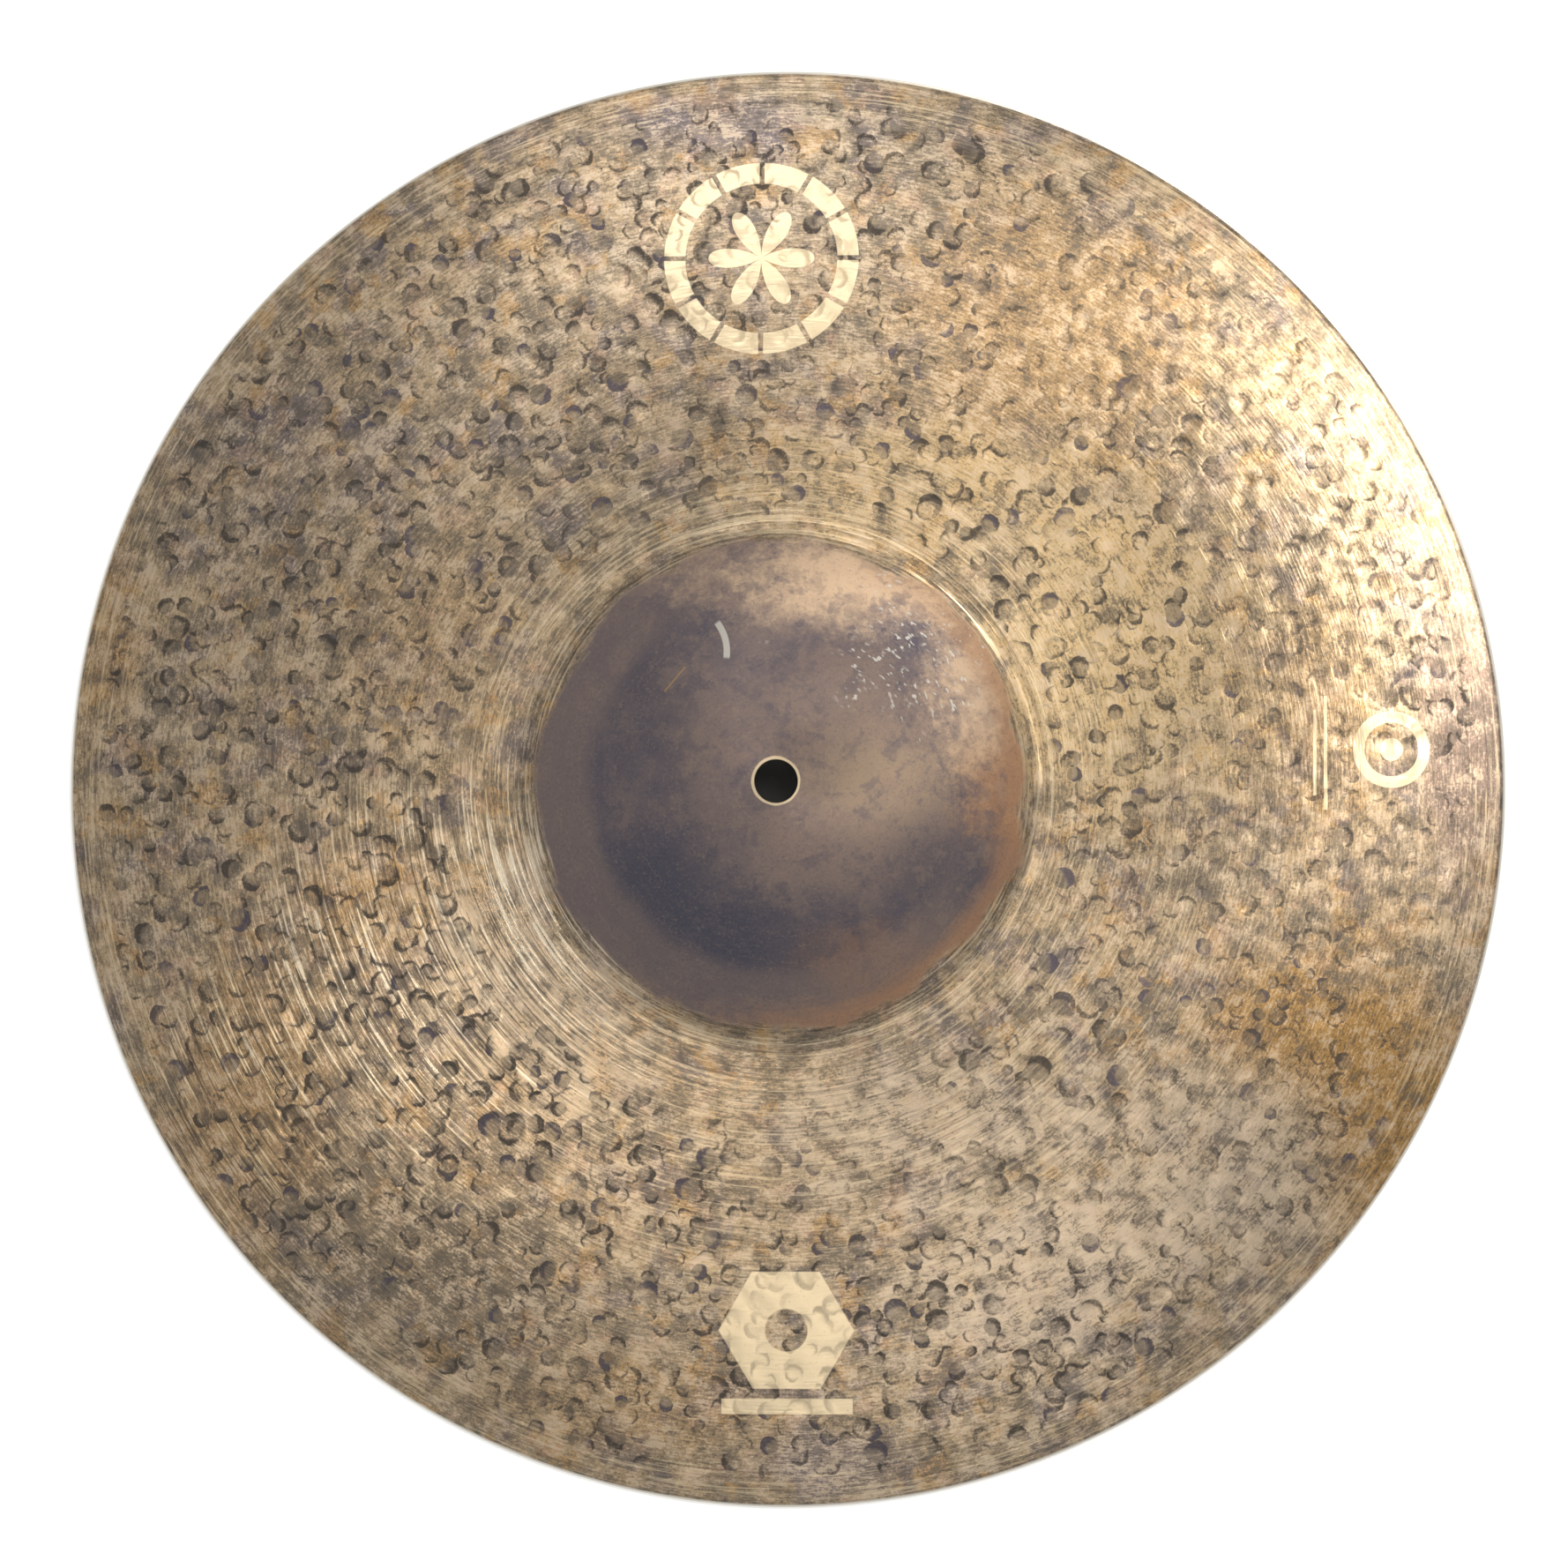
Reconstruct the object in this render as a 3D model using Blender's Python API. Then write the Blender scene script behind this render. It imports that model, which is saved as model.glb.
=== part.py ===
"""A 16 inch hand-hammered bronze cymbal: one turned plate with a raised bell and a centre hole.

The cymbal lies bell up on its rim. The origin is at the middle of the plane that the rim rests on, and +Z
is the axis that the plate was turned about. A real cymbal is a single piece of metal, so it is one object.
"""

import math

import bmesh
import bpy

# Driving dimensions, in metres.
RADIUS = 0.2032  # 16 inches across
HEIGHT = 0.046  # from the rim's resting plane to the crown of the bell
HOLE_RADIUS = 0.006
HOLE_CHAMFER = 0.0003
CROWN_RADIUS = 0.0125  # the flat round the hole, which the stand's felts clamp
BOW_SPHERE = 0.900  # the bow is part of a sphere of this radius
BELL_SPHERE = 0.114  # and the bell is part of a smaller one
BELL_FILLET = 0.010  # the hollow curve where the bell's side runs out into the bow
CROWN_THICKNESS = 0.00125
RIM_THICKNESS = 0.00080
RIM_LAND = 0.0005  # the narrow flat under the rim that the cymbal rests on
RIM_BREAK = 0.00015  # the broken upper corner of the rim

# How finely each curve is divided.
TURN_STEPS = 72
BELL_STEPS = 8
FILLET_STEPS = 4
BOW_STEPS = 7

# Bronze, darkened by its patina.
BRONZE_COLOUR = (0.36, 0.27, 0.17, 1.0)
BRONZE_ROUGHNESS = 0.42

# The centres of the bow's and the bell's spheres are on the axis.
BOW_CENTRE = RIM_THICKNESS - math.sqrt(BOW_SPHERE**2 - RADIUS**2)
BELL_CENTRE = HEIGHT - math.sqrt(BELL_SPHERE**2 - CROWN_RADIUS**2)


def clear_scene():
    for thing in list(bpy.data.objects):
        bpy.data.objects.remove(thing, do_unlink=True)


def arc(centre, radius, start, end, steps):
    """Points (r, z) along an arc, with angles from the +r direction, leaving out its first point."""
    angles = (start + (end - start) * i / steps for i in range(1, steps + 1))
    return [(centre[0] + radius * math.cos(a), centre[1] + radius * math.sin(a)) for a in angles]


def fillet_centre():
    """The centre (r, z) of the circle that touches both spheres from outside."""
    to_bow = BOW_SPHERE + BELL_FILLET
    to_bell = BELL_SPHERE + BELL_FILLET
    apart = BELL_CENTRE - BOW_CENTRE
    along = (to_bow**2 - to_bell**2 + apart**2) / (2 * apart)
    return math.sqrt(to_bow**2 - along**2), BOW_CENTRE + along


def top_profile():
    """The upper surface as (r, z), from the crown's outer edge to the rim."""
    fillet = fillet_centre()
    crown_angle = math.acos(CROWN_RADIUS / BELL_SPHERE)
    bell_angle = math.atan2(fillet[1] - BELL_CENTRE, fillet[0])
    bow_angle = math.atan2(fillet[1] - BOW_CENTRE, fillet[0])
    rim_angle = math.acos((RADIUS - RIM_BREAK) / BOW_SPHERE)
    points = [(CROWN_RADIUS, HEIGHT)]
    points += arc((0, BELL_CENTRE), BELL_SPHERE, crown_angle, bell_angle, BELL_STEPS)
    points += arc(fillet, BELL_FILLET, bell_angle + math.pi, bow_angle + math.pi, FILLET_STEPS)
    points += arc((0, BOW_CENTRE), BOW_SPHERE, bow_angle, rim_angle, BOW_STEPS)
    return points


def thickness_at(r):
    """The plate thins evenly from its crown to its rim."""
    share = (r - CROWN_RADIUS) / (RADIUS - CROWN_RADIUS)
    return CROWN_THICKNESS + (RIM_THICKNESS - CROWN_THICKNESS) * share


def under_profile(top):
    """The lower surface as (r, z): each point of the upper one moved in by the plate's thickness."""
    points = [(top[0][0], top[0][1] - CROWN_THICKNESS)]
    for before, here, after in zip(top, top[1:], top[2:]):
        run, rise = after[0] - before[0], after[1] - before[1]
        deep = thickness_at(here[0]) / math.hypot(run, rise)
        points.append((here[0] + rise * deep, here[1] - run * deep))
    return points


def outline():
    """The whole section, once round: down the upper surface, round the rim, back under and up the hole."""
    top = top_profile()
    under = under_profile(top)
    rim = [(RADIUS, top[-1][1] - RIM_BREAK), (RADIUS, 0.0), (RADIUS - RIM_LAND, 0.0)]
    crown_under = HEIGHT - CROWN_THICKNESS
    hole = [
        (HOLE_RADIUS + HOLE_CHAMFER, crown_under),
        (HOLE_RADIUS, crown_under + HOLE_CHAMFER),
        (HOLE_RADIUS, HEIGHT - HOLE_CHAMFER),
        (HOLE_RADIUS + HOLE_CHAMFER, HEIGHT),
    ]
    return top + rim + under[::-1] + hole


def bronze():
    material = bpy.data.materials.new("bronze")
    material.use_nodes = True
    shader = material.node_tree.nodes["Principled BSDF"]
    shader.inputs["Base Color"].default_value = BRONZE_COLOUR
    shader.inputs["Metallic"].default_value = 1.0
    shader.inputs["Roughness"].default_value = BRONZE_ROUGHNESS
    return material


def cymbal():
    """The outline, turned once round the Z axis."""
    mesh = bpy.data.meshes.new("cymbal")
    shape = bmesh.new()
    corners = [shape.verts.new((r, 0, z)) for r, z in outline()]
    edges = [shape.edges.new((a, b)) for a, b in zip(corners, corners[1:] + corners[:1])]
    bmesh.ops.spin(
        shape,
        geom=corners + edges,
        cent=(0, 0, 0),
        axis=(0, 0, 1),
        angle=math.tau,
        steps=TURN_STEPS,
        use_merge=True,
    )
    bmesh.ops.recalc_face_normals(shape, faces=shape.faces)
    shape.to_mesh(mesh)
    shape.free()
    mesh.shade_smooth()
    mesh.set_sharp_from_angle(angle=math.radians(40))
    mesh.materials.append(bronze())
    plate = bpy.data.objects.new("cymbal", mesh)
    bpy.context.scene.collection.objects.link(plate)
    return plate


clear_scene()
cymbal()
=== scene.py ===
"""The looks of a hand-hammered bronze cymbal that lies bell up on a pale floor.

The plate is one turned, closed mesh. Its hammer marks are a pattern of nodes that is used twice: geometry
nodes press the marks into the mesh, and the bow's material darkens the same marks. Lengths are metres in
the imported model's frame, whose +Z is the cymbal's axis, and millimetres inside the patterns.
"""

import math

import bpy
import numpy as np
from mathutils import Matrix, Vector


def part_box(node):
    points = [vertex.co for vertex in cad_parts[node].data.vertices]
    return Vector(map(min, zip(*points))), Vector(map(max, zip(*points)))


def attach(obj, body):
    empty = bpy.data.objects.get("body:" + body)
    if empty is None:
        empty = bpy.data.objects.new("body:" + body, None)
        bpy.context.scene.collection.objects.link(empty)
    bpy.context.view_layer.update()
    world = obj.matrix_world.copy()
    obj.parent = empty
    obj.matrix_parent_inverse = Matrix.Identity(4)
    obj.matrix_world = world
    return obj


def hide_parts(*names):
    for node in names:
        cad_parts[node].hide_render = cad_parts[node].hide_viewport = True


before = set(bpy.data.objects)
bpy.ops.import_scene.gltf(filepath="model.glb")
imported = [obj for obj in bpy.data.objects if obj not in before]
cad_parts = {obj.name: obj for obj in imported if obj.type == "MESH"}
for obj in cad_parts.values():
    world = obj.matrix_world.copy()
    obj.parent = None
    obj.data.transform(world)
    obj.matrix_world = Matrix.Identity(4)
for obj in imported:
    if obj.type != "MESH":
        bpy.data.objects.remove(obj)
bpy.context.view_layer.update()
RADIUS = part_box("cymbal")[1].x
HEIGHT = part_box("cymbal")[1].z

# The turned section, with the same driving dimensions as the solid.
HOLE_RADIUS = 0.006
CROWN_RADIUS = 0.0125
BOW_SPHERE = 0.900
BELL_SPHERE = 0.114
BELL_FILLET = 0.010
CROWN_THICKNESS = 0.00125
RIM_THICKNESS = 0.00080
CROWN_BLEND = 0.0010  # how softly the bell's sphere runs into the flat crown
EDGE_ROUND = 0.0003  # the rounding of the rim and of the hole's edges
EDGE_STEPS = 3
BOW_CENTRE = RIM_THICKNESS - math.sqrt(BOW_SPHERE**2 - RADIUS**2)
BELL_CENTRE = HEIGHT - math.sqrt(BELL_SPHERE**2 - CROWN_RADIUS**2)

# The mesh: how far apart its points are, and the fewest that a ring may have.
TOP_CELL = 0.0015
UNDER_CELL = 0.0045
FEWEST_SECTORS = 60
SHARP_ANGLE = 50  # degrees

# Which faces have which bronze.
BELL_RADIUS = 0.075  # how far the bell's own material reaches, past the hollow at its foot
UNDER_NORMAL = -0.2  # a face whose normal has a lower z than this is on the underside

# Hammer marks, in millimetres: one layer of strikes for each shift, the later ones over the earlier.
MM = 1000
STRIKE_SHIFTS = ((0, 0), (137, 51), (-61, 203), (89, -171))
STRIKE_SPACING = 9.0
STRIKE_SCATTER = 0.92  # 0 puts the strikes on a grid, and 1 scatters them most
STRIKE_RADII = (1.8, 3.9)
STRIKE_DEPTH = 0.14  # in the middle of a strike of full force and the typical radius
TYPICAL_RADIUS = 3
UNDER_SHARE = 0.35  # how much of a mark's depth shows on the underside
HAMMERED_FROM = 82
HAMMERED_TO = 197
HAMMERED_WAVER = 12  # how far the inner edge of the hammered band wanders
HAMMERED_LEAN = 0.09  # how much further out that edge is, for each millimetre towards -X and -Y
FADE_AT_BELL = 8
FADE_AT_RIM = 4


class Value:
    """A number or vector that nodes work out. Arithmetic on it adds Math nodes."""

    def __init__(self, graph, socket):
        self.graph = graph
        self.socket = socket

    def __add__(self, other):
        return self.graph.math("ADD", self, other)

    def __radd__(self, other):
        return self.graph.math("ADD", other, self)

    def __sub__(self, other):
        return self.graph.math("SUBTRACT", self, other)

    def __rsub__(self, other):
        return self.graph.math("SUBTRACT", other, self)

    def __mul__(self, other):
        return self.graph.math("MULTIPLY", self, other)

    def __rmul__(self, other):
        return self.graph.math("MULTIPLY", other, self)

    def __truediv__(self, other):
        return self.graph.math("DIVIDE", self, other)


class Graph:
    """Adds nodes to a tree. It works in a material's tree and in a geometry tree alike."""

    def __init__(self, tree):
        self.tree = tree

    def feed(self, socket, value):
        if isinstance(value, Value):
            self.tree.links.new(value.socket, socket)
        else:
            socket.default_value = value

    def node(self, kind, inputs, **settings):
        node = self.tree.nodes.new(kind)
        for name, value in settings.items():
            setattr(node, name, value)
        for name, value in inputs.items():
            self.feed(node.inputs[name], value)
        return node

    def math(self, operation, a, b=0.0):
        node = self.node("ShaderNodeMath", {0: a, 1: b}, operation=operation)
        return Value(self, node.outputs[0])

    def split(self, vector):
        node = self.node("ShaderNodeSeparateXYZ", {0: vector})
        return [Value(self, socket) for socket in node.outputs]

    def join(self, x, y, z=0.0):
        node = self.node("ShaderNodeCombineXYZ", {0: x, 1: y, 2: z})
        return Value(self, node.outputs[0])

    def length(self, x, y):
        node = self.node("ShaderNodeVectorMath", {0: self.join(x, y)}, operation="LENGTH")
        return Value(self, node.outputs["Value"])

    def ramp(self, value, start, end):
        """0 where value is at start, 1 where it is at end, and smooth between them."""
        inputs = {"Value": value, "From Min": start, "From Max": end}
        node = self.node("ShaderNodeMapRange", inputs, interpolation_type="SMOOTHSTEP")
        return Value(self, node.outputs[0])

    def noise(self, vector, size, detail=2.0, roughness=0.5, distortion=0.0):
        """Soft noise from 0 to 1, in lumps about this size."""
        inputs = {
            "Vector": vector,
            "Scale": 1 / size,
            "Detail": detail,
            "Roughness": roughness,
            "Distortion": distortion,
        }
        return Value(self, self.node("ShaderNodeTexNoise", inputs).outputs[0])

    def cells(self, vector, size, feature):
        """The node that cuts the plane into scattered cells of about this size."""
        inputs = {"Vector": vector, "Scale": 1 / size, "Randomness": STRIKE_SCATTER}
        return self.node("ShaderNodeTexVoronoi", inputs, voronoi_dimensions="2D", feature=feature)

    def mix(self, share, a, b):
        """Colour a where share is 0, and colour b where it is 1."""
        node = self.node("ShaderNodeMix", {}, data_type="RGBA")
        for socket, value in zip((node.inputs[0], node.inputs[6], node.inputs[7]), (share, a, b)):
            self.feed(socket, value)
        return Value(self, node.outputs[2])

    def lowest(self, a, b):
        return self.math("MINIMUM", a, b)

    def highest(self, a, b):
        return self.math("MAXIMUM", a, b)

    def size_of(self, value):
        return self.math("ABSOLUTE", value)


def linear(red, green, blue):
    """A colour as a screen shows it, from 0 to 255, turned into the linear one that shaders use."""
    shares = (red / 255, green / 255, blue / 255)
    return (*(s / 12.92 if s <= 0.04045 else ((s + 0.055) / 1.055) ** 2.4 for s in shares), 1.0)


# ---------------------------------------------------------------- the turned plate


def fillet_centre():
    """The centre (r, z) of the circle that touches the bow's and the bell's spheres from outside."""
    to_bow = BOW_SPHERE + BELL_FILLET
    to_bell = BELL_SPHERE + BELL_FILLET
    apart = BELL_CENTRE - BOW_CENTRE
    along = (to_bow**2 - to_bell**2 + apart**2) / (2 * apart)
    return math.sqrt(to_bow**2 - along**2), BOW_CENTRE + along


def top_height(r):
    """The upper face's height at radius r: crown, bell, fillet and bow."""
    fillet_r, fillet_z = fillet_centre()
    bell_end = fillet_r * BELL_SPHERE / (BELL_SPHERE + BELL_FILLET)
    bow_start = fillet_r * BOW_SPHERE / (BOW_SPHERE + BELL_FILLET)
    if r > bow_start:
        return BOW_CENTRE + math.sqrt(BOW_SPHERE**2 - r**2)
    if r > bell_end:
        return fillet_z - math.sqrt(BELL_FILLET**2 - (fillet_r - r) ** 2)
    sphere = BELL_CENTRE + math.sqrt(BELL_SPHERE**2 - r**2)
    share = min(max(0.5 + 0.5 * (HEIGHT - sphere) / CROWN_BLEND, 0), 1)
    return HEIGHT + (sphere - HEIGHT) * share - CROWN_BLEND * share * (1 - share)


def under_point(r):
    """The point (r, z) of the lower face that is across the plate from the upper face's point at r."""
    step = 1e-5
    slope = (top_height(r + step) - top_height(r - step)) / (2 * step)
    share = (r - HOLE_RADIUS) / (RADIUS - HOLE_RADIUS)
    deep = (CROWN_THICKNESS + (RIM_THICKNESS - CROWN_THICKNESS) * share) / math.hypot(1, slope)
    return r + slope * deep, top_height(r) - deep


def radii(start, end, cell):
    steps = round((end - start) / cell)
    return [start + (end - start) * i / steps for i in range(steps + 1)]


def corner(r, z, start_degrees):
    """A quarter turn of points round a corner whose centre is (r, z)."""
    angles = (math.radians(start_degrees - 90 * i / EDGE_STEPS) for i in range(EDGE_STEPS + 1))
    return [(r + EDGE_ROUND * math.cos(a), z + EDGE_ROUND * math.sin(a)) for a in angles]


def section():
    """The whole section as (r, z, cell), once round.

    It runs out over the top, round the rim, back under the plate and up the hole.
    """
    inner, outer = HOLE_RADIUS + EDGE_ROUND, RADIUS - EDGE_ROUND
    rim_top = top_height(RADIUS)
    crown_under = HEIGHT - CROWN_THICKNESS
    top = [(r, top_height(r)) for r in radii(inner, outer, TOP_CELL)]
    under = [under_point(r) for r in radii(inner, outer, UNDER_CELL)][::-1]
    rim = corner(outer, rim_top - EDGE_ROUND, 90)[1:] + corner(outer, EDGE_ROUND, 0)
    hole = corner(inner, crown_under + EDGE_ROUND, 270) + corner(inner, HEIGHT - EDGE_ROUND, 180)[:-1]
    fine = [(r, z, TOP_CELL) for r, z in top + rim]
    coarse = [(r, z, UNDER_CELL) for r, z in under[1:-1] + hole]
    return fine + coarse


def sectors_at(r, cell):
    """How many points the ring at r has: a doubling of the fewest, so that rings meet without gaps."""
    count = FEWEST_SECTORS
    while math.tau * r / count > cell:
        count *= 2
    return count


def band(first, first_count, second, second_count):
    """The faces between two rings whose vertices start at first and second.

    The rings have equally many vertices, or one has twice as many as the other.
    """
    faces = []
    fewer = min(first_count, second_count)
    for i in range(fewer):
        j = (i + 1) % fewer
        a, b, c = 2 * i, 2 * i + 1, 2 * j
        if first_count == second_count:
            faces.append((first + i, second + i, second + j, first + j))
        elif first_count < second_count:
            faces.append((first + i, second + a, second + b))
            faces.append((first + i, second + b, first + j))
            faces.append((first + j, second + b, second + c))
        else:
            faces.append((second + i, first + b, first + a))
            faces.append((second + i, second + j, first + b))
            faces.append((second + j, first + c, first + b))
    return faces


def plate_mesh():
    """The plate before it is hammered. Each point's mark_share says how much of a mark shows there."""
    points, shares, rings = [], [], []
    for r, z, cell in section():
        count = sectors_at(r, cell)
        rings.append((len(points), count))
        angles = np.arange(count) * math.tau / count
        points.extend(zip(r * np.cos(angles), r * np.sin(angles), np.full(count, z)))
        shares.extend([1.0 if cell == TOP_CELL else UNDER_SHARE] * count)
    faces = []
    for (first, n), (second, m) in zip(rings, rings[1:] + rings[:1]):
        faces.extend(band(first, n, second, m))
    mesh = bpy.data.meshes.new("cymbal_plate")
    mesh.from_pydata(points, [], faces)
    mesh.attributes.new("mark_share", "FLOAT", "POINT").data.foreach_set("value", shares)
    return mesh


# ---------------------------------------------------------------- the hammer marks


def hammered(g, x, y):
    """Where the plate was hammered: 1 on the bow, fading out before the bell's foot and the rim.

    The band that it leaves bare round the bell is widest on the side towards -X and -Y.
    """
    r = g.length(x, y)
    start = HAMMERED_FROM + g.noise(g.join(x, y), 14) * HAMMERED_WAVER - (x + y) * HAMMERED_LEAN
    return g.ramp(r, start - FADE_AT_BELL, start) * g.ramp(r, HAMMERED_TO, HAMMERED_TO - FADE_AT_RIM)


def strikes(g, x, y):
    """Round marks of a hammer that lands askew, deepest on one side. x and y are millimetres.

    Returns the marks' depth in millimetres and, from 0 to 1, how far a point is into the crescent on a
    mark's steep side, how far it is inside a mark, and a random number that is the same all over one mark.
    """
    wobble = g.noise(g.join(x, y), 3.0, detail=1) - 0.5
    ragged = (g.noise(g.join(x, y), 0.8, detail=2, roughness=0.7) - 0.5) * 0.7
    often = g.ramp(g.noise(g.join(x, y), 26), 0.30, 0.62) * 0.35
    depth, crescent, inside, tone = 0.0, 0.0, 0.0, 0.0
    for shift_x, shift_y in STRIKE_SHIFTS:
        place_x = x + wobble * 1.5 + ragged + shift_x
        place_y = y - wobble * 1.3 + ragged + shift_y
        place = g.join(place_x, place_y)
        cell = g.cells(place, STRIKE_SPACING, "F1")
        centre_x, centre_y, _ = g.split(Value(g, cell.outputs["Position"]))
        size, turn, force = g.split(Value(g, cell.outputs["Color"]))
        clear = g.cells(place, STRIKE_SPACING, "N_SPHERE_RADIUS")
        room = Value(g, clear.outputs["Radius"]) * STRIKE_SPACING
        radius = g.lowest(room, size * (STRIKE_RADII[1] - STRIKE_RADII[0]) + STRIKE_RADII[0])
        own_tone = g.math("FRACT", size * 7.3 + turn * 11.9 + force * 5.7)
        force = g.ramp(force + often, 0.15, 0.85) * g.ramp(radius, 1.0, 1.8)
        across = (place_x - centre_x) / radius
        along = (place_y - centre_y) / radius
        out = g.length(across, along)
        lean_x, lean_y = g.math("COSINE", turn * math.tau), g.math("SINE", turn * math.tau)
        lean = across * lean_x + along * lean_y
        cap = g.highest(1 - out * out, 0)
        covers = g.ramp(out, 1.04, 0.84)
        shown = covers * force
        offset = own_tone * 0.4 + 0.35
        hollow = g.length(across + lean_x * offset, along + lean_y * offset)
        depth = depth * (1 - 0.6 * g.ramp(cap, 0, 0.4))
        depth = depth + cap * (1 + 0.85 * lean) * force * radius * (STRIKE_DEPTH / TYPICAL_RADIUS)
        crescent = g.highest(crescent * (1 - 0.6 * shown), g.ramp(hollow, 0.75, 1.22) * shown)
        inside = g.highest(inside * (1 - 0.4 * covers), shown)
        tone = tone + (own_tone - tone) * covers
    return depth, crescent, inside, tone


def press_marks(plate):
    """Presses the marks into the mesh and keeps the result as a plain mesh."""
    tree = bpy.data.node_groups.new("hammering", "GeometryNodeTree")
    tree.interface.new_socket("Geometry", in_out="INPUT", socket_type="NodeSocketGeometry")
    tree.interface.new_socket("Geometry", in_out="OUTPUT", socket_type="NodeSocketGeometry")
    g = Graph(tree)
    source = Value(g, g.node("NodeGroupInput", {}).outputs[0])
    x, y, _ = g.split(Value(g, g.node("GeometryNodeInputPosition", {}).outputs[0]))
    x, y = x * MM, y * MM
    share = g.node("GeometryNodeInputNamedAttribute", {"Name": "mark_share"}, data_type="FLOAT")
    depth = strikes(g, x, y)[0]
    drop = depth * hammered(g, x, y) * Value(g, share.outputs[0]) * (-1 / MM)
    moved = g.node("GeometryNodeSetPosition", {"Geometry": source, "Offset": g.join(0.0, 0.0, drop)})
    g.node("NodeGroupOutput", {0: Value(g, moved.outputs[0])})
    plate.modifiers.new("hammering", "NODES").node_group = tree
    bpy.context.view_layer.update()
    shaped = plate.evaluated_get(bpy.context.evaluated_depsgraph_get())
    mesh = bpy.data.meshes.new_from_object(shaped)
    plate.modifiers.clear()
    plate.data = mesh


# ---------------------------------------------------------------- colours, in screen values

TAN = linear(184, 159, 126)
BROWN = linear(150, 133, 111)
OCHRE = linear(190, 150, 98)
GOLD = linear(174, 141, 98)
HONEY_AND_SHEEN = linear(222, 190, 138)
AMBER = linear(182, 140, 82)
ROSE = linear(192, 158, 132)
GREY = linear(102, 94, 85)
VIOLET = linear(116, 107, 114)
INK = linear(82, 76, 90)
BEIGE = linear(219, 196, 168)
FAWN = linear(218, 188, 156)
DARK = linear(66, 61, 58)
CREAM = linear(238, 216, 178)
# Near white, for the painted glints on the lathe's ridges and the painted highlight along the rim.
GLINT_WHITE = linear(250, 244, 232)
SLATE = linear(94, 88, 98)
INDIGO = linear(78, 77, 90)
UMBER = linear(144, 124, 113)
RUST = linear(178, 134, 98)
CHALK = linear(205, 200, 190)

# Stains on the bow. Each is an oval, as its centre's x and y, its half-width and its half-height in
# millimetres, then a colour and a strength.
BOW_STAINS = (
    (168, -92, 24, 48, AMBER, 1.0),
    (144, -66, 28, 22, AMBER, 0.9),
    (74, 126, 46, 44, GOLD, 0.8),
    (193, 14, 16, 46, UMBER, 0.9),
    (-194, 44, 12, 34, OCHRE, 0.5),
    (-96, 46, 30, 26, OCHRE, 0.3),
    (150, 20, 24, 34, OCHRE, 0.3),
    (-150, 90, 30, 30, VIOLET, 0.2),
    (-18, 188, 30, 10, VIOLET, 0.6),
    (14, -190, 24, 9, VIOLET, 0.6),
    (-104, -128, 50, 34, GREY, 0.55),
    (-130, -70, 40, 40, GREY, 0.5),
    (-152, -88, 26, 44, OCHRE, 0.55),
    (-116, -34, 24, 20, OCHRE, 0.35),
    (-40, -176, 40, 16, OCHRE, 0.35),
    (120, -112, 40, 34, BEIGE, 0.6),
    (72, -140, 40, 34, BEIGE, 0.6),
    (40, -92, 50, 18, BEIGE, 0.6),
    (-58, -70, 24, 30, BEIGE, 0.5),
    # The two honey ovals: a golden tone that is partly a painted highlight, on the side towards the key
    # lamp.
    (92, 40, 44, 52, HONEY_AND_SHEEN, 0.7),
    (36, 84, 50, 20, HONEY_AND_SHEEN, 0.5),
    (-80, -46, 22, 30, BEIGE, 0.6),
)
# Stains on the bell, in the same form.
BELL_STAINS = (
    (26, -2, 34, 30, UMBER, 0.9),
    (28, 2, 22, 16, TAN, 0.4),
    (6, -24, 30, 16, UMBER, 0.6),
    (-10, 16, 28, 16, UMBER, 0.4),
    (20, 24, 26, 16, UMBER, 0.5),
    (-34, -34, 30, 26, INDIGO, 0.85),
    (-42, 30, 20, 26, INDIGO, 0.5),
    (48, -30, 18, 18, INDIGO, 0.6),
    (-2, -48, 40, 18, INDIGO, 0.75),
    (-58, 0, 14, 40, SLATE, 0.7),
    (26, -50, 20, 12, RUST, 0.4),
    (62, 0, 12, 18, RUST, 0.8),
    (-20, 62, 36, 10, UMBER, 0.7),
    (26, 58, 46, 16, FAWN, 0.9),
    (58, 38, 16, 36, FAWN, 0.8),
)
# Where the marks are faint, partly from wear and partly as a painted highlight on the upper right, where
# the key lamp shines: the same oval, then how much fainter they are.
FADED_MARKS = (
    (96, 138, 50, 40, 0.35),
    (158, 92, 46, 60, 0.4),
    (120, -116, 44, 44, 0.25),
    (36, -104, 60, 26, 0.4),
    (150, 10, 40, 50, 0.25),
    (186, -70, 24, 70, 0.4),
)
# Ovals where the lathe's ridges carry painted glints.
LOW_LEFT_GLINTS = (-96, -54, 60, 56)
RIM_LEFT_GLINTS = (-158, -88, 26, 40)

# Patches all over the bow: size in millimetres, the noise's lowest and highest value, seed, strength and
# colour.
BOW_PATCHES = (
    (12, 0.55, 0.62, 300, 0.65, OCHRE),
    (15, 0.52, 0.62, 600, 0.5, VIOLET),
    (9, 0.56, 0.64, 900, 0.5, ROSE),
)

# Radii on the plate, in millimetres. A pair says where a thing starts and where it is complete.
HOLE_RING = (7.0, 6.6)  # the bare metal round the hole
BELL_RING = 50.5  # a thin broken line on the bell
BROWN_SIDE = (49, 56)
RUSTY_FOOT = (60, 67)
BELL_EDGE = (67, 70)  # the bell's patina gives way to the bow's
CREASE = 69.5  # a dark line along that edge
LATHED_FROM = 78  # the lathed ring next to the bell, which fades out to these two radii
RUBBED_TO = 112
GLOSSY_TO = 100
RIM_BAND = (186, 194)
# The rim's rounded edge, painted near white: a painted highlight.
PAINTED_RIM_HIGHLIGHT = (202.2, 202.8)


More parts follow.
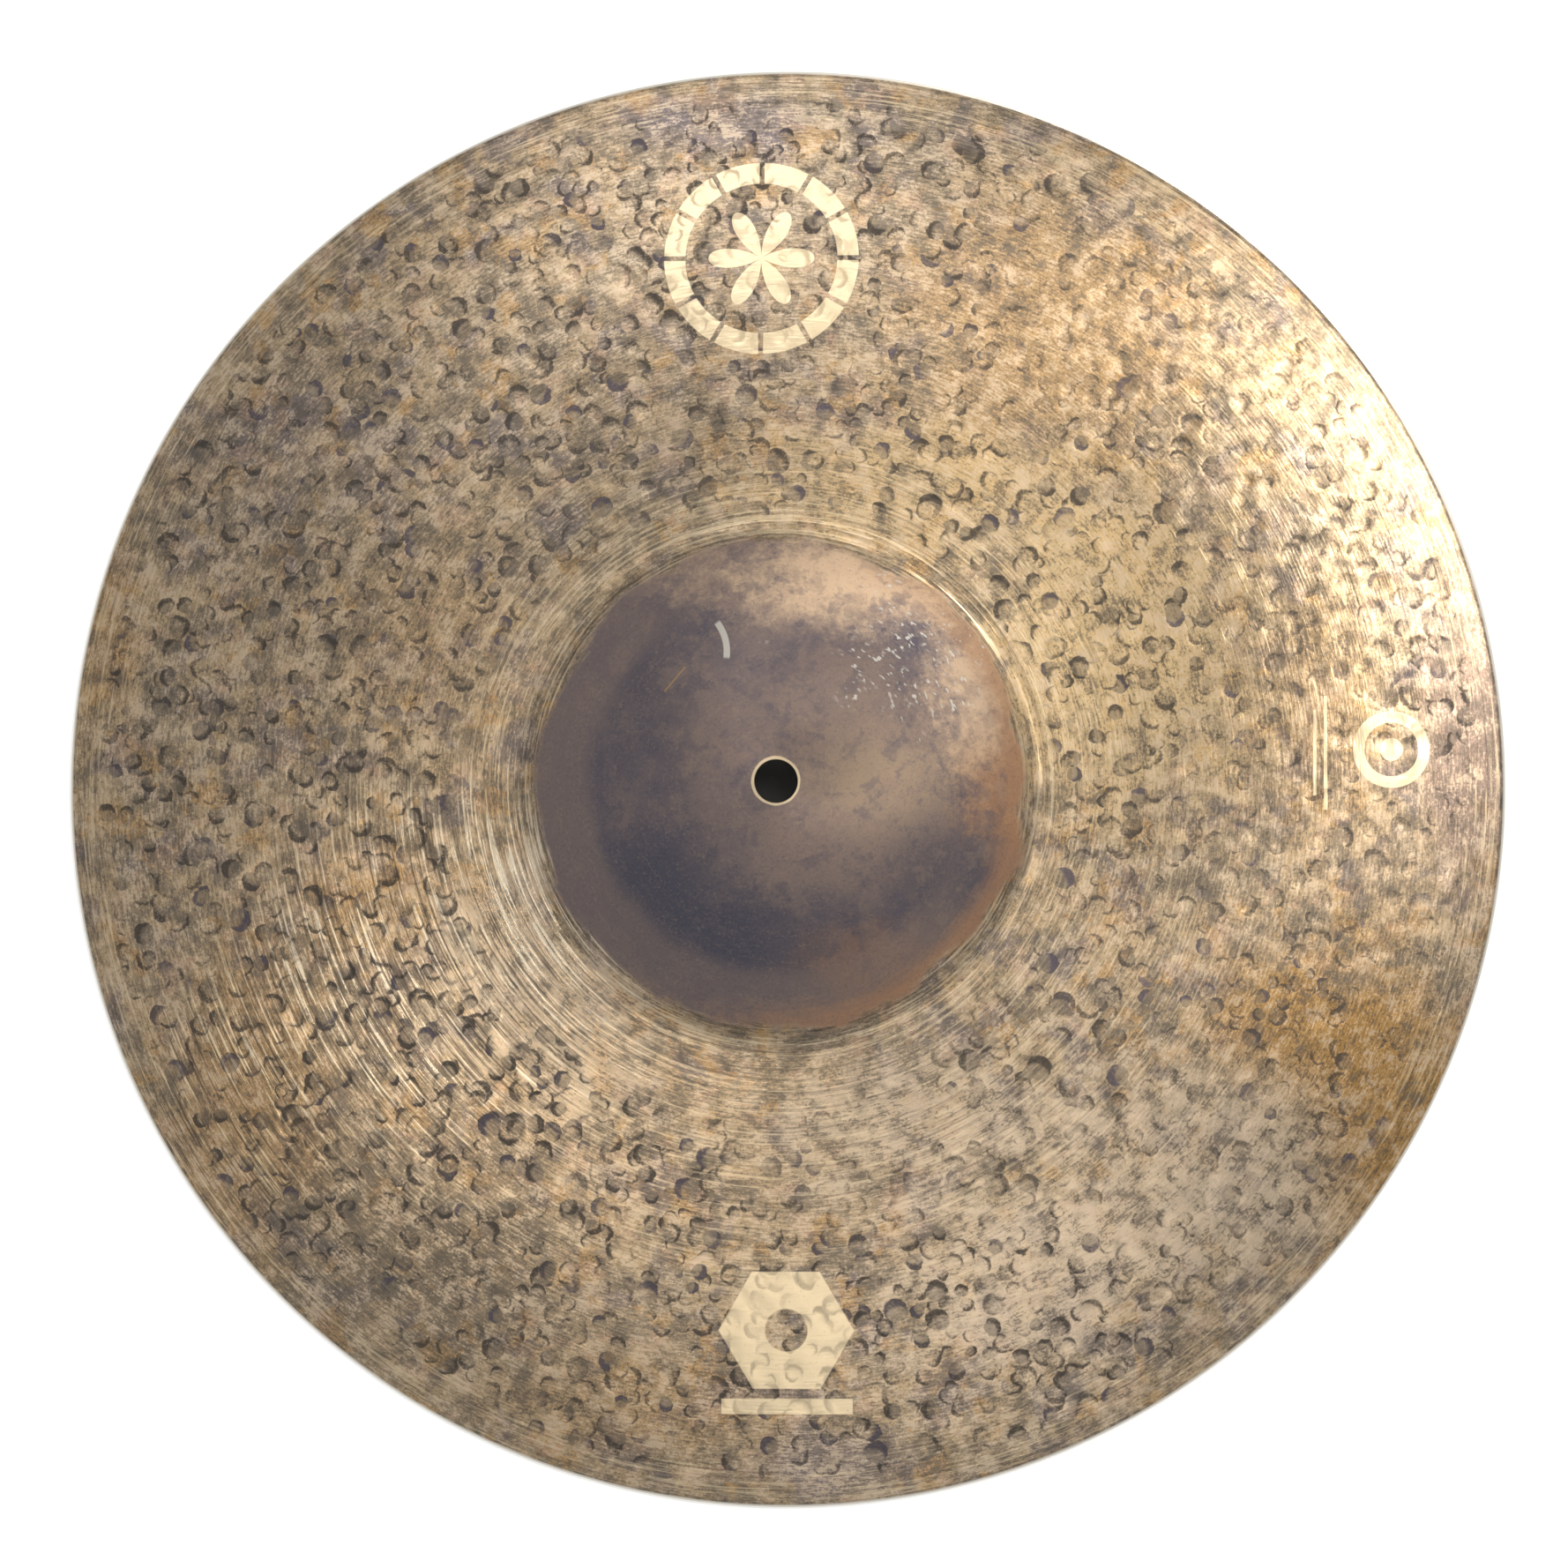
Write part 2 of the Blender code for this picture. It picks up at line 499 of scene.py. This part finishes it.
def patches(g, place, size, low, high, seed):
    """Ragged patches: 0 outside, 1 inside."""
    x, y, z = place
    spot = g.join(x + seed, y - seed, z)
    return g.ramp(g.noise(spot, size, detail=4, roughness=0.6, distortion=0.3), low, high)


def streaks(g, x, y, width, length, seed, detail=2):
    """Noise in streaks that follow the lathe, of this width and length in millimetres, from 0 to 1."""
    place = g.join(x / length, y / length, g.length(x, y) / width + seed)
    return g.noise(place, 1.0, detail=detail, roughness=0.6)


def outness(g, x, y, oval):
    """0 at the oval's centre and 1 on its edge."""
    centre_x, centre_y, half_width, half_height = oval
    return g.length((x - centre_x) / half_width, (y - centre_y) / half_height)


def stained(g, x, y, fray, colour, stains):
    """Lays each stain over the colour, with frayed edges."""
    for *oval, tint, strength in stains:
        share = g.ramp(outness(g, x, y, oval) + fray, 1.35, 0.3) * strength
        colour = g.mix(share, colour, tint)
    return colour


def faded_marks(g, x, y):
    """How much of the marks' dirt is left, from 0 to 1: less where it is worn, and less on the upper right
    as a painted highlight.
    """
    fray = g.noise(g.join(x, y), 22, detail=3) - 0.5
    left = 1 - g.ramp(fray, 0.02, 0.16) * 0.5
    for *oval, strength in FADED_MARKS:
        left = left * (1 - g.ramp(outness(g, x, y, oval) + fray * 2, 1.3, 0.5) * strength)
    return left


def grimed(g, colour, lines):
    """Darkens the colour where the grime lies in the lathe's lines, and lightens it between."""
    short, _, grain, blotch = lines
    grime = (short - 0.5) * 0.9 + blotch + grain * 0.8
    colour = g.mix(g.ramp(grime, 0.02, 0.2) * 0.7, colour, GREY)
    return g.mix(g.ramp(grime, 0.0, -0.2) * 0.65, colour, BEIGE)


def lathe_lines_and_glints(g, x, y, fray, colour, lines):
    """Draws the lathe's long lines: pale ridges and dark grooves, with painted glints on the ridges,
    brightest in the two left ovals, below the bell and near the rim.
    """
    _, long, grain, _ = lines
    r = g.length(x, y)
    low_left_glints = g.ramp(outness(g, x, y, LOW_LEFT_GLINTS) + fray * 0.4, 1.3, 0.5)
    rim_left_glints = g.ramp(outness(g, x, y, RIM_LEFT_GLINTS) + fray * 0.4, 1.3, 0.5)
    near_bell = g.ramp(r, RUBBED_TO, LATHED_FROM)
    below = g.ramp(y + fray * 20, 10, -60) * g.ramp(r, 165, 110)
    at_rim = g.ramp(r + fray * 4, *RIM_BAND)
    # Painted glints: where the ridges are drawn brightest.
    painted_glints = g.highest(low_left_glints, rim_left_glints) * 0.75
    burnish_and_glint = g.highest(g.highest(near_bell * 0.35, painted_glints), g.highest(below, at_rim) * 0.3) + 0.08
    ridge_pattern = long - 0.5 + grain * 0.25 + near_bell * 0.02
    colour = g.mix(g.ramp(ridge_pattern, 0.09, 0.13) * burnish_and_glint, colour, g.mix(low_left_glints * 0.5, CREAM, GLINT_WHITE))
    return g.mix(g.ramp(ridge_pattern, -0.05, -0.14) * burnish_and_glint * 0.8, colour, DARK)


def bow_base(g, x, y, z, lines):
    """The bow's colour without its hammer marks."""
    place = (x, y, z)
    fray = (g.noise(g.join(x, y, z), 13, detail=4, roughness=0.65) - 0.5) * 1.9
    colour = g.mix(patches(g, place, 11, 0.38, 0.62, 0), BROWN, TAN)
    for size, low, high, seed, strength, tint in BOW_PATCHES:
        colour = g.mix(patches(g, place, size, low, high, seed) * strength, colour, tint)
    colour = stained(g, x, y, fray, colour, BOW_STAINS)
    return lathe_lines_and_glints(g, x, y, fray, grimed(g, colour, lines), lines)


def bow_colour(g, x, y, z, marks, lines):
    """The bow's colour with dirt in its hammer marks, darkest in their crescents."""
    crescent, inside, tone = marks
    _, _, grain, blotch = lines
    colour = bow_base(g, x, y, z, lines)
    colour = g.mix(inside * g.ramp(tone + grain * 0.8 + blotch, 0.4, 0.8) * 0.55, colour, GREY)
    dirt = crescent * (1 + grain * 1.5 + blotch * 1.2)
    dirt_colour = g.mix(g.ramp(tone, 0.86, 0.94), DARK, INK)
    return g.mix(g.ramp(dirt, 0.05, 1.0) * 0.75, colour, dirt_colour)


def bell_patina(g, x, y, z, fray, spin):
    """The bell's dark patina: brown and slate stains, and a rusty foot."""
    spot = g.join(x, y, z)
    r = g.length(x, y)
    colour = g.mix(g.ramp(g.noise(spot, 26, detail=4), 0.35, 0.65) * 0.6, SLATE, UMBER)
    mottled = fray * 0.6 + (g.noise(spot, 5, detail=4, roughness=0.8) - 0.5) * 1.6
    colour = stained(g, x, y, mottled, colour, BELL_STAINS)
    warm_side = g.ramp(x + y, -60, 10)
    colour = g.mix(patches(g, (x, y, z), 7, 0.5, 0.62, 1500) * warm_side * 0.4, colour, UMBER)
    colour = g.mix(patches(g, (x, y, z), 6, 0.54, 0.64, 1800) * 0.4, colour, SLATE)
    colour = g.mix(g.ramp(r + fray * 3, *BROWN_SIDE) * g.ramp(x + y, 40, 0) * 0.45, colour, UMBER)
    foot = g.ramp(r + spin * 5 + fray * 4, *RUSTY_FOOT)
    rusty_side = g.ramp(mottled + x * 0.02 - y * 0.008, -0.4, 1.2)
    return g.mix(foot * rusty_side * 0.7, colour, RUST)


def bell_grain(g, spot, spin, colour):
    """Fine dark and pale grain."""
    grain = g.noise(spot, 0.8, detail=2, roughness=0.8) - 0.5
    colour = g.mix(g.ramp(grain, 0.0, -0.3) * 0.35, colour, DARK)
    return g.mix(g.ramp(grain + spin * 0.4, 0.0, 0.4) * 0.3, colour, TAN)


def bell_scratches(g, x, y, spot, colour):
    """Pale flecks on one side of the bell, partly worn spots and partly painted glints along the lathe's
    lines, one curved scratch and one straight one.
    """
    near_flecks_and_glints = g.ramp(g.length(x - 38, y - 36), 34, 12)
    flecks_and_glints = g.ramp(g.noise(spot, 9, detail=1) + near_flecks_and_glints * 0.4, 0.72, 0.95)
    flecks = streaks(g, x, y, 1.2, 2.5, 200, detail=1)
    # Chalk-white flecks along the lathe's lines: partly worn spots, partly painted glints.
    colour = g.mix(flecks_and_glints * g.ramp(flecks, 0.6, 0.7) * 0.9, colour, CHALK)
    curved = band_share(g, x, y, centre=(-28, 36), radius=14, half_width=0.9, start=-8, end=40)
    colour = g.mix(curved * 0.8, colour, CHALK)
    straight = bar(g, x, y, centre=(-28.5, 28.7), half_length=4.5, half_width=0.25, degrees=50)
    return g.mix(straight * 0.5, colour, OCHRE)


def bell_colour(g, x, y, z):
    """The bell's patina with its grain, its thin dark ring, its scratches and pale flecks that are partly
    painted glints, and bare metal at the hole.
    """
    spot = g.join(x, y, z)
    r = g.length(x, y)
    fray = (g.noise(spot, 18, detail=5, roughness=0.62) - 0.5) * 1.6
    spin = streaks(g, x, y, 1.2, 16, 80) - 0.5
    colour = bell_grain(g, spot, spin, bell_patina(g, x, y, z, fray, spin))
    ring = g.ramp(g.size_of(r + fray * 1.2 - BELL_RING), 0.7, 0.2) * g.ramp(x + y, 10, -30)
    colour = g.mix(ring * g.ramp(fray + spin, 0.1, 0.4) * 0.6, colour, DARK)
    colour = bell_scratches(g, x, y, spot, colour)
    return g.mix(g.ramp(r + fray, *HOLE_RING) * 0.8, colour, CREAM)


# ---------------------------------------------------------------- plain marks of bare bronze

SOFT = 0.15  # half the width of a mark's soft edge, in millimetres
FADE_DEGREES = 4  # over how far a band fades at its two ends
BADGE_CENTRE = (-6, 149)
HEXAGON_CENTRE = (1, -153)
SMALL_RING_CENTRE = (171, 10)


def turned(x, y, centre, degrees):
    """x and y from centre, in axes turned by this angle."""
    c, s = math.cos(math.radians(degrees)), math.sin(math.radians(degrees))
    u, v = x - centre[0], y - centre[1]
    return u * c + v * s, v * c - u * s


def band_share(g, x, y, centre, radius, half_width, start=-180, end=180):
    """1 on a round band about centre, between two angles in degrees."""
    u, v = x - centre[0], y - centre[1]
    share = g.ramp(g.size_of(g.length(u, v) - radius), half_width + SOFT, half_width - SOFT)
    if end - start < 360:
        angle = g.math("ARCTAN2", v, u) * math.degrees(1)
        after_start = g.ramp(angle, start, start + FADE_DEGREES)
        share = share * after_start * g.ramp(angle, end, end - FADE_DEGREES)
    return share


def bar(g, x, y, centre, half_length, half_width, degrees=0):
    """1 on a straight bar about centre, turned by this angle."""
    u, v = turned(x, y, centre, degrees)
    along = g.ramp(g.size_of(u), half_length + SOFT, half_length - SOFT)
    return along * g.ramp(g.size_of(v), half_width + SOFT, half_width - SOFT)


def broken_ring_mark(g, x, y):
    """A ring of twelve equal dashes round a flower of six petals."""
    u, v = x - BADGE_CENTRE[0], y - BADGE_CENTRE[1]
    r, angle = g.length(u, v), g.math("ARCTAN2", v, u)
    gaps = g.ramp(g.size_of(g.math("SINE", angle * 6)) * r, 3.5, 5.0)
    petals = g.size_of(g.math("COSINE", angle * 3)) * 15
    flower = g.ramp(r - petals, 0.2, -0.2)
    ring = band_share(g, x, y, BADGE_CENTRE, radius=24.5, half_width=3.0)
    return g.highest(ring * gaps, flower)


def hexagon_mark(g, x, y):
    """A hexagon with a round hole, over a plain bar."""
    u, v = g.size_of(x - HEXAGON_CENTRE[0]), g.size_of(y - HEXAGON_CENTRE[1])
    edge = g.highest(u * math.cos(math.radians(30)) + v * 0.5, v)
    plate = g.ramp(edge, 16.7, 16.3) * g.ramp(g.length(u, v), 5.8, 6.2)
    return g.highest(plate, bar(g, x, y, centre=(1, -174.5), half_length=18.5, half_width=2.2))


def small_ring_mark(g, x, y):
    """A ring round a dot, beside two thin rules."""
    ring = band_share(g, x, y, SMALL_RING_CENTRE, radius=9.2, half_width=1.6)
    dot = band_share(g, x, y, SMALL_RING_CENTRE, radius=0, half_width=3.2)
    long_rule = bar(g, x, y, centre=(152.5, 9), half_length=16, half_width=0.45, degrees=90)
    short_rule = bar(g, x, y, centre=(149.5, 9), half_length=12, half_width=0.45, degrees=90)
    return g.highest(g.highest(ring, dot), g.highest(long_rule, short_rule))


def bare_marks(g, x, y):
    """1 on the three plain marks, a little worn."""
    worn = g.noise(g.join(x, y), 0.8, detail=3, roughness=0.7)
    large = g.highest(broken_ring_mark(g, x, y), hexagon_mark(g, x, y))
    marks = g.highest(large, small_ring_mark(g, x, y))
    return marks * g.ramp(worn, 0.2, 0.4)


# ---------------------------------------------------------------- materials


class Surface:
    """A new material with its shader, and x, y and z in millimetres."""

    def __init__(self, name):
        self.material = bpy.data.materials.new(name)
        self.material.use_nodes = True
        self.graph = Graph(self.material.node_tree)
        self.shader = self.material.node_tree.nodes["Principled BSDF"]
        g = self.graph
        place = g.split(Value(g, g.node("ShaderNodeTexCoord", {}).outputs["Object"]))
        self.place = [axis * MM for axis in place]

    def set(self, name, value):
        self.graph.feed(self.shader.inputs[name], value)

    def bumped(self, height):
        """Bumps the surface. height is in millimetres."""
        g = self.graph
        bump = g.node("ShaderNodeBump", {"Strength": 1.0, "Distance": 1 / MM, "Height": height})
        self.set("Normal", Value(g, bump.outputs[0]))


def turned_finish(surface):
    """Brushes the surface round the Z axis."""
    g = surface.graph
    surface.set("Anisotropic", 0.75)
    tangent = g.node("ShaderNodeTangent", {}, direction_type="RADIAL", axis="Z")
    surface.set("Tangent", Value(g, tangent.outputs[0]))


def bow_lines(g, x, y, z):
    """Short and long streaks along the lathe's lines, fine grain, and blotches."""
    spot = g.join(x, y, z)
    short = streaks(g, x, y, 0.6, 2.6, 0, detail=3)
    long = streaks(g, x, y, 0.75, 30, 50)
    grain = g.noise(spot, 0.7, detail=2, roughness=0.75) - 0.5
    blotch = g.noise(spot, 6.5, detail=3, roughness=0.6) - 0.5
    return short, long, grain, blotch


def bow_bronze():
    surface = Surface("hammered_bronze")
    g = surface.graph
    x, y, z = surface.place
    where = hammered(g, x, y)
    _, crescent, inside, tone = strikes(g, x, y)
    # The marks fade where they are worn, and on the upper right as a painted highlight.
    left = where * faded_marks(g, x, y)
    crescent, inside = crescent * left, inside * left
    lines = bow_lines(g, x, y, z)
    colour = bow_colour(g, x, y, z, (crescent, inside, tone), lines)
    colour = g.mix(bare_marks(g, x, y) * (0.95 - crescent * 0.2), colour, CREAM)
    # A painted highlight: near white along the rim's rounded edge.
    colour = g.mix(g.ramp(g.length(x, y), *PAINTED_RIM_HIGHLIGHT), colour, GLINT_WHITE)
    surface.set("Base Color", colour)
    surface.set("Metallic", 0.85)
    near_bell = g.ramp(g.length(x, y), GLOSSY_TO, LATHED_FROM)
    surface.set("Roughness", 0.28 - near_bell * 0.02 + crescent * 0.2)
    short, long, _, _ = lines
    surface.bumped(long * (0.03 + near_bell * 0.02) + short * 0.02)
    turned_finish(surface)
    return surface.material


def bell_bronze():
    surface = Surface("bell_patina")
    g = surface.graph
    x, y, z = surface.place
    lines = bow_lines(g, x, y, z)
    _, long, _, blotch = lines
    edge = g.length(x, y) + blotch * 5 + (g.noise(g.join(x, y), 20, detail=0) - 0.5) * 8
    past = g.ramp(edge, *BELL_EDGE)
    colour = g.mix(past, bell_colour(g, x, y, z), bow_base(g, x, y, z, lines))
    crease = g.ramp(g.size_of(edge - CREASE), 1.8, 0.2) * g.ramp(long + blotch, 0.6, 0.3)
    surface.set("Base Color", g.mix(crease * 0.5, colour, DARK))
    surface.set("Metallic", 0.55 + past * 0.25)
    surface.set("Roughness", 0.55 - g.ramp(long, 0.5, 0.6) * past * 0.25)
    surface.bumped(long * (0.02 + past * 0.03))
    turned_finish(surface)
    return surface.material


def under_bronze():
    surface = Surface("under_bronze")
    g = surface.graph
    x, y, z = surface.place
    fine = streaks(g, x, y, 0.8, 22, 0)
    mottle = patches(g, (x, y, z), 20, 0.35, 0.65, 2000)
    colour = g.mix(mottle, BROWN, TAN)
    colour = g.mix(g.ramp(fine, 0.45, 0.65) * 0.5, colour, BEIGE)
    surface.set("Base Color", colour)
    surface.set("Metallic", 0.9)
    surface.set("Roughness", 0.38)
    surface.bumped(fine * 0.05)
    turned_finish(surface)
    return surface.material


def dress(mesh):
    """Gives each face its bronze: the bell's, the bow's or the underside's."""
    mesh.materials.clear()
    for material in (bow_bronze(), bell_bronze(), under_bronze()):
        mesh.materials.append(material)
    centres = np.empty(len(mesh.polygons) * 3)
    normals = np.empty(len(mesh.polygons) * 3)
    mesh.polygons.foreach_get("center", centres)
    mesh.polygons.foreach_get("normal", normals)
    r = np.hypot(centres[0::3], centres[1::3])
    bow, bell, under = range(3)
    slots = np.where(normals[2::3] < UNDER_NORMAL, under, np.where(r < BELL_RADIUS, bell, bow))
    mesh.polygons.foreach_set("material_index", slots.astype(np.int32))


def cymbal():
    plate = bpy.data.objects.new("cymbal_plate", plate_mesh())
    bpy.context.scene.collection.objects.link(plate)
    press_marks(plate)
    plate.data.shade_smooth()
    plate.data.set_sharp_from_angle(angle=math.radians(SHARP_ANGLE))
    dress(plate.data)
    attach(plate, "root")
    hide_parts("cymbal")


# ---------------------------------------------------------------- the studio

CAMERA_DISTANCE = 2.2
CAMERA_AZIMUTH = -35  # degrees from +X, seen from above
CAMERA_TILT = 3.7  # degrees from straight overhead
CAMERA_AIM = np.array([-0.0002, 0.0009, 0.0])
FRAME_WIDTH = 0.4436  # metres across the view, at the rim
SENSOR = 36

FLOOR_SIZE = 40
FLOOR_DROP = 0.0002  # below the rim, so that the two don't touch
FLOOR_COLOUR = (0.98, 0.98, 0.98, 1)
FLOOR_GLOW = 0.3  # outside the plate, so that none of it shines up through the hole
GLOW_FADE = 4  # over how many millimetres the glow starts

SKY_COLOUR = (0.93, 0.95, 0.97, 1)
SKY_STRENGTH = 0.59
LAMP_DISTANCE = 2.4
# Round softboxes: name, azimuth, degrees from overhead, diameter in metres, power in watts and colour.
SOFTBOXES = (
    ("key", 31, 33, 0.3, 9.5, (1.0, 0.94, 0.84)),
    ("side", 55, 62, 0.5, 15, (1.0, 0.95, 0.88)),
    ("top", 100, 32, 0.5, 2.8, (1.0, 1.0, 1.0)),
    ("low", 211, 24, 0.25, 2, (1.0, 0.88, 0.68)),
    ("glow", 50, 12, 0.6, 1.6, (1.0, 0.94, 0.84)),
    ("fill", -80, 22, 0.8, 2, (1.0, 0.96, 0.9)),
)


def direction(azimuth, from_overhead):
    """The unit vector at these degrees: azimuth from +X, and down from straight overhead."""
    a, t = math.radians(azimuth), math.radians(from_overhead)
    return np.array([math.sin(t) * math.cos(a), math.sin(t) * math.sin(a), math.cos(t)])


def camera():
    lens = bpy.data.cameras.new("camera")
    lens.sensor_width = SENSOR
    lens.lens = SENSOR * CAMERA_DISTANCE / FRAME_WIDTH
    view = bpy.data.objects.new("camera", lens)
    bpy.context.scene.collection.objects.link(view)
    back = direction(CAMERA_AZIMUTH, CAMERA_TILT)
    right = np.cross([0, 1, 0], back)
    right /= np.linalg.norm(right)
    up = np.cross(back, right)
    matrix = np.eye(4)
    matrix[:3] = np.column_stack((right, up, back, CAMERA_AIM + back * CAMERA_DISTANCE))
    view.matrix_world = matrix.T.tolist()  # Blender reads a list column by column
    bpy.context.scene.camera = view


def softbox(name, azimuth, from_overhead, diameter, power, colour):
    """A round lamp that shines at the origin."""
    lamp = bpy.data.lights.new(name, "AREA")
    lamp.shape = "DISK"
    lamp.size = diameter
    lamp.energy = power
    lamp.color = colour
    box = bpy.data.objects.new(name, lamp)
    bpy.context.scene.collection.objects.link(box)
    box.location = direction(azimuth, from_overhead) * LAMP_DISTANCE
    box.rotation_euler = (0, math.radians(from_overhead), math.radians(azimuth))


def floor():
    """A wide white floor, which glows a little outside the plate."""
    half = FLOOR_SIZE / 2
    corners = [(-half, -half, 0), (half, -half, 0), (half, half, 0), (-half, half, 0)]
    mesh = bpy.data.meshes.new("floor")
    mesh.from_pydata(corners, [], [(0, 1, 2, 3)])
    surface = Surface("pale_floor")
    g = surface.graph
    x, y, _ = surface.place
    rim = RADIUS * MM
    surface.set("Base Color", FLOOR_COLOUR)
    surface.set("Roughness", 0.8)
    surface.set("Emission Color", (1, 1, 1, 1))
    surface.set("Emission Strength", g.ramp(g.length(x, y), rim - GLOW_FADE, rim) * FLOOR_GLOW)
    mesh.materials.append(surface.material)
    ground = bpy.data.objects.new("floor", mesh)
    bpy.context.scene.collection.objects.link(ground)
    ground.location.z = -FLOOR_DROP


def studio():
    world = bpy.data.worlds.new("studio")
    world.use_nodes = True
    bpy.context.scene.world = world
    background = world.node_tree.nodes["Background"]
    background.inputs["Color"].default_value = SKY_COLOUR
    background.inputs["Strength"].default_value = SKY_STRENGTH
    for box in SOFTBOXES:
        softbox(*box)
    bpy.context.scene.view_settings.view_transform = "Standard"


camera()
studio()
floor()
cymbal()
